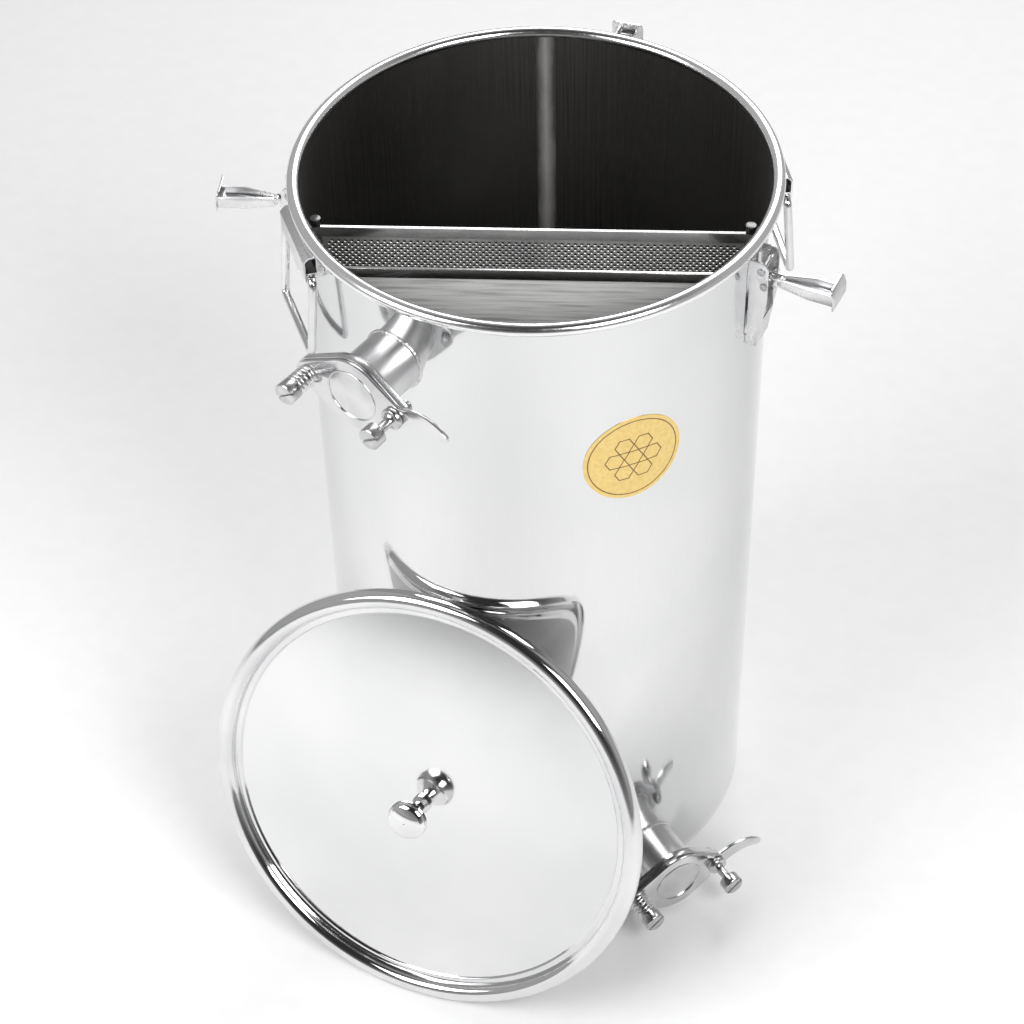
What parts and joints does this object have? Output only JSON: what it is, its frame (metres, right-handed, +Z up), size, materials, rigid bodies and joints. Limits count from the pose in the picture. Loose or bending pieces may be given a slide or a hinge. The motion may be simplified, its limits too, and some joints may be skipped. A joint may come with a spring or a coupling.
{
  "type": "honey straining can",
  "caption": "Tall cylindrical straining can with gate outlets, lift-out sieves, lid latches, drop handles and a loose lid, for straining and drawing off honey.",
  "frame": {"origin": "centre of the flat face that the can stands on", "axes": "+Z up along the can's axis, front towards -Y: the sieves are square to it, with an outlet on either side"},
  "size_m": [0.5311, 0.5942, 0.705],
  "materials": {
    "can_steel": "polished stainless sheet",
    "polished_steel": "bright polished stainless",
    "latch_steel": "pressed stainless, satin",
    "screw_steel": "turned stainless",
    "sieve_steel": "perforated sheet and woven wire",
    "lid_steel": "pressed polished stainless",
    "knob_chrome": "chrome plated",
    "seal_silicone": "translucent silicone",
    "label_gold": "gold foil"
  },
  "bodies": {
    "can": {"can_shell": "can_steel", "can_bottom": "can_steel", "label_disc": "label_gold", "upper_outlet_pipe": "polished_steel", "upper_gate_flange": "polished_steel", "upper_gate_seal": "seal_silicone", "upper_pivot_screw": "screw_steel", "upper_pivot_spring": "screw_steel", "lower_outlet_pipe": "polished_steel", "lower_gate_flange": "polished_steel", "lower_gate_seal": "seal_silicone", "lower_pivot_screw": "screw_steel", "lower_pivot_spring": "screw_steel", "latch_left_base": "latch_steel", "latch_left_rivets": "screw_steel", "latch_right_base": "latch_steel", "latch_right_rivets": "screw_steel", "latch_back_base": "latch_steel", "latch_back_rivets": "screw_steel", "handle_left_strap": "can_steel", "handle_right_strap": "can_steel", "coarse_sieve_guides": "can_steel", "fine_sieve_guides": "can_steel"},
    "upper_gate": {"upper_gate": "polished_steel"},
    "upper_clamp": {"upper_clamp_screw": "screw_steel"},
    "lower_gate": {"lower_gate": "polished_steel"},
    "lower_clamp": {"lower_clamp_screw": "screw_steel"},
    "latch_left_lever": {"latch_left_lever": "latch_steel", "latch_left_hook_pin": "screw_steel"},
    "latch_left_hook": {"latch_left_hook": "latch_steel"},
    "latch_right_lever": {"latch_right_lever": "latch_steel", "latch_right_hook_pin": "screw_steel"},
    "latch_right_hook": {"latch_right_hook": "latch_steel"},
    "latch_back_lever": {"latch_back_lever": "latch_steel", "latch_back_hook_pin": "screw_steel"},
    "latch_back_hook": {"latch_back_hook": "latch_steel"},
    "handle_left_bail": {"handle_left_bail": "polished_steel"},
    "handle_right_bail": {"handle_right_bail": "polished_steel"},
    "coarse_sieve": {"coarse_sieve_frame": "polished_steel", "coarse_sieve_sheet": "sieve_steel"},
    "fine_sieve": {"fine_sieve_frame": "polished_steel", "fine_sieve_mesh": "sieve_steel"},
    "lid": {"lid_shell": "lid_steel", "lid_gasket": "seal_silicone", "lid_knob": "knob_chrome", "lid_knob_washer": "screw_steel", "lid_knob_nut": "screw_steel"}
  },
  "joints": [
    {"name": "upper_gate_lift", "type": "hinge", "parent": "can", "child": "upper_gate", "pos_m": [-0.16677, -0.17556, 0.637], "axis": [-0.549, -0.8358, 0], "range_deg": [0, 90]},
    {"name": "upper_clamp_turn", "type": "hinge", "parent": "can", "child": "upper_clamp", "pos_m": [-0.09656, -0.22168, 0.637], "axis": [-0.549, -0.8358, 0], "range_deg": [0, 360]},
    {"name": "lower_gate_lift", "type": "hinge", "parent": "can", "child": "lower_gate", "pos_m": [0.09489, -0.22278, 0.0393], "axis": [0.549, -0.8358, 0], "range_deg": [0, 90]},
    {"name": "lower_clamp_turn", "type": "hinge", "parent": "can", "child": "lower_clamp", "pos_m": [0.1651, -0.17666, 0.0393], "axis": [0.549, -0.8358, 0], "range_deg": [0, 360]},
    {"name": "latch_left_swing", "type": "hinge", "parent": "can", "child": "latch_left_lever", "pos_m": [-0.20281, 0.00886, 0.659], "axis": [-0.0436, -0.999, 0], "range_deg": [0, 82]},
    {"name": "latch_left_hook_swing", "type": "hinge", "parent": "latch_left_lever", "child": "latch_left_hook", "pos_m": [-0.2123, 0.00927, 0.6595], "axis": [0.0436, 0.999, 0], "range_deg": [0, 162]},
    {"name": "latch_right_swing", "type": "hinge", "parent": "can", "child": "latch_right_lever", "pos_m": [0.18686, -0.07932, 0.659], "axis": [0.3907, 0.9205, 0], "range_deg": [0, 82]},
    {"name": "latch_right_hook_swing", "type": "hinge", "parent": "latch_right_lever", "child": "latch_right_hook", "pos_m": [0.19561, -0.08303, 0.6595], "axis": [-0.3907, -0.9205, 0], "range_deg": [0, 162]},
    {"name": "latch_back_swing", "type": "hinge", "parent": "can", "child": "latch_back_lever", "pos_m": [0.05425, 0.19562, 0.659], "axis": [-0.9636, 0.2672, 0], "range_deg": [0, 82]},
    {"name": "latch_back_hook_swing", "type": "hinge", "parent": "latch_back_lever", "child": "latch_back_hook", "pos_m": [0.05679, 0.20477, 0.6595], "axis": [0.9636, -0.2672, 0], "range_deg": [0, 162]},
    {"name": "handle_left_swing", "type": "hinge", "parent": "can", "child": "handle_left_bail", "pos_m": [-0.18422, -0.07257, 0.672], "axis": [-0.3665, 0.9304, 0], "range_deg": [0, 145]},
    {"name": "handle_right_swing", "type": "hinge", "parent": "can", "child": "handle_right_bail", "pos_m": [0.19367, 0.04117, 0.672], "axis": [0.2079, -0.9781, 0], "range_deg": [0, 145]},
    {"name": "coarse_sieve_lift", "type": "slide", "parent": "can", "child": "coarse_sieve", "axis": [0, 0, 1], "range_m": [0, 0.6]},
    {"name": "fine_sieve_lift", "type": "slide", "parent": "can", "child": "fine_sieve", "axis": [0, 0, 1], "range_m": [0, 0.6]},
    {"name": "lid_tip", "type": "hinge", "parent": "can", "child": "lid", "pos_m": [-0.11577, -0.29542, 0.0003], "axis": [0.9311, -0.3649, 0], "range_deg": [0, 30]}
  ],
  "couplings": [
    {"joint": "latch_left_hook_swing", "follows": "latch_left_swing", "ratio": 1.9756},
    {"joint": "latch_right_hook_swing", "follows": "latch_right_swing", "ratio": 1.9756},
    {"joint": "latch_back_hook_swing", "follows": "latch_back_swing", "ratio": 1.9756}
  ]
}
